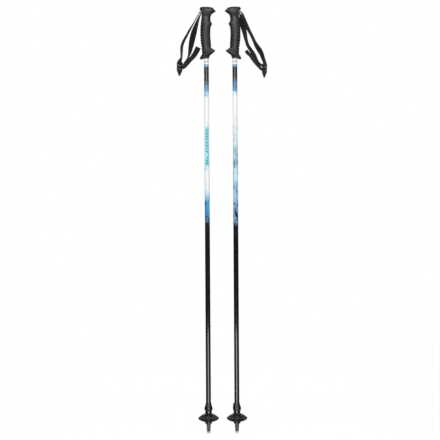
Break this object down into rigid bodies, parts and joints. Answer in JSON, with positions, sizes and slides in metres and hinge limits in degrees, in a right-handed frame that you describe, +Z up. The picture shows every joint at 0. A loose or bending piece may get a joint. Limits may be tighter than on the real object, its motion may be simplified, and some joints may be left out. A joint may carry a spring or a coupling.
{
  "type": "ski pole",
  "caption": "Pair of alpine ski poles: aluminium shaft, moulded grip with wrist strap and ladder buckle, snow basket, ferrule and steel tip.",
  "frame": {"origin": "on the ground midway between the poles, which stand on their tips", "axes": "+X from the left pole to the right pole, +Y away from the viewer, +Z up the shafts"},
  "size_m": [0.2549, 0.058, 1.2],
  "materials": {
    "printed_aluminium": "gloss print under clear lacquer",
    "label_film": "gloss white film",
    "tip_steel": "bright ground steel",
    "pin_steel": "drawn",
    "black_plastic": "semi-gloss moulded",
    "basket_plastic": "matt moulded",
    "grip_rubber": "satin textured",
    "cap_plastic": "fine spark texture",
    "webbing": "woven nylon",
    "buckle_plastic": "satin moulded"
  },
  "bodies": {
    "left_pole": {"left_shaft": "printed_aluminium", "left_size_band": "label_film", "left_tip": "tip_steel", "left_ferrule": "black_plastic", "left_basket_ring": "black_plastic", "left_collar": "black_plastic", "left_grip_core": "black_plastic", "left_grip": "grip_rubber", "left_grip_cap": "cap_plastic", "left_strap_pin": "pin_steel"},
    "left_basket": {"left_basket": "basket_plastic"},
    "left_strap": {"left_strap": "webbing"},
    "left_buckle": {"left_buckle": "buckle_plastic", "left_strap_tail": "webbing"},
    "right_pole": {"right_shaft": "printed_aluminium", "right_size_band": "label_film", "right_tip": "tip_steel", "right_ferrule": "black_plastic", "right_basket_ring": "black_plastic", "right_collar": "black_plastic", "right_grip_core": "black_plastic", "right_grip": "grip_rubber", "right_grip_cap": "cap_plastic", "right_strap_pin": "pin_steel"},
    "right_basket": {"right_basket": "basket_plastic"},
    "right_strap": {"right_strap": "webbing"},
    "right_buckle": {"right_buckle": "buckle_plastic", "right_strap_tail": "webbing"}
  },
  "joints": [
    {"name": "right_pole_apart", "type": "slide", "parent": "left_pole", "child": "right_pole", "axis": [1, 0, 0], "range_m": [0, 0.3]},
    {"name": "left_strap_swing", "type": "hinge", "parent": "left_pole", "child": "left_strap", "pos_m": [-0.0524, 0, 1.1868], "axis": [0, 1, 0], "range_deg": [0, 45]},
    {"name": "left_buckle_tilt", "type": "hinge", "parent": "left_strap", "child": "left_buckle", "pos_m": [-0.115, 0, 1.043], "axis": [0.4695, 0.8829, 0], "range_deg": [0, 30]},
    {"name": "left_basket_spin", "type": "hinge", "parent": "left_pole", "child": "left_basket", "pos_m": [-0.04, 0, 0.0445], "axis": [0, 0, 1], "continuous": true},
    {"name": "right_strap_swing", "type": "hinge", "parent": "right_pole", "child": "right_strap", "pos_m": [0.0524, 0, 1.1868], "axis": [0, -1, 0], "range_deg": [0, 45]},
    {"name": "right_buckle_tilt", "type": "hinge", "parent": "right_strap", "child": "right_buckle", "pos_m": [0.124, 0, 1.0365], "axis": [0.3746, -0.9272, 0], "range_deg": [0, 30]},
    {"name": "right_basket_spin", "type": "hinge", "parent": "right_pole", "child": "right_basket", "pos_m": [0.04, 0, 0.0445], "axis": [0, 0, 1], "continuous": true}
  ]
}
